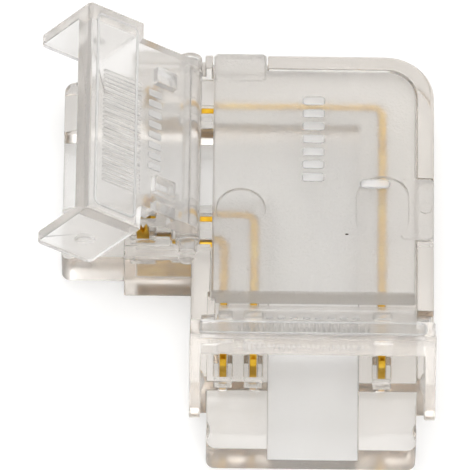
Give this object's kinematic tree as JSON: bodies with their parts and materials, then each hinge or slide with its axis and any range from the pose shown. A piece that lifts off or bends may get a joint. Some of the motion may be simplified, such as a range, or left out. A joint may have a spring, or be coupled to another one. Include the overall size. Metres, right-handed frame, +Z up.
{
  "type": "led strip connector",
  "caption": "Clear right-angle corner connector for flat light strip, with flip-up clamping lids and brass piercing conductors.",
  "frame": {"origin": "on the underside, where the centre lines of the two strips cross", "axes": "+Z up out of the cover; one strip enters along -Y from the long leg, the other along -X from the short leg"},
  "size_m": [0.0194, 0.0224, 0.009],
  "materials": {
    "clear_housing": "clear moulded polycarbonate",
    "clear_cover": "clear moulded polycarbonate",
    "clear_lid": "clear moulded polycarbonate",
    "brass": "stamped sheet, bright"
  },
  "bodies": {
    "housing": {"base_housing": "clear_housing", "centre_cover": "clear_cover", "outer_conductor": "brass", "middle_conductor": "brass", "inner_conductor": "brass"},
    "left_lid": {"left_lid": "clear_lid"},
    "lower_lid": {"lower_lid": "clear_lid"}
  },
  "joints": [
    {"name": "left_lid_hinge", "type": "hinge", "parent": "housing", "child": "left_lid", "pos_m": [-0.00615, 0, 0.00315], "axis": [0, 1, 0], "range_deg": [-37, 53]},
    {"name": "lower_lid_hinge", "type": "hinge", "parent": "housing", "child": "lower_lid", "pos_m": [0, -0.0095, 0.00315], "axis": [-1, 0, 0], "range_deg": [-46.5, 43.5]}
  ]
}
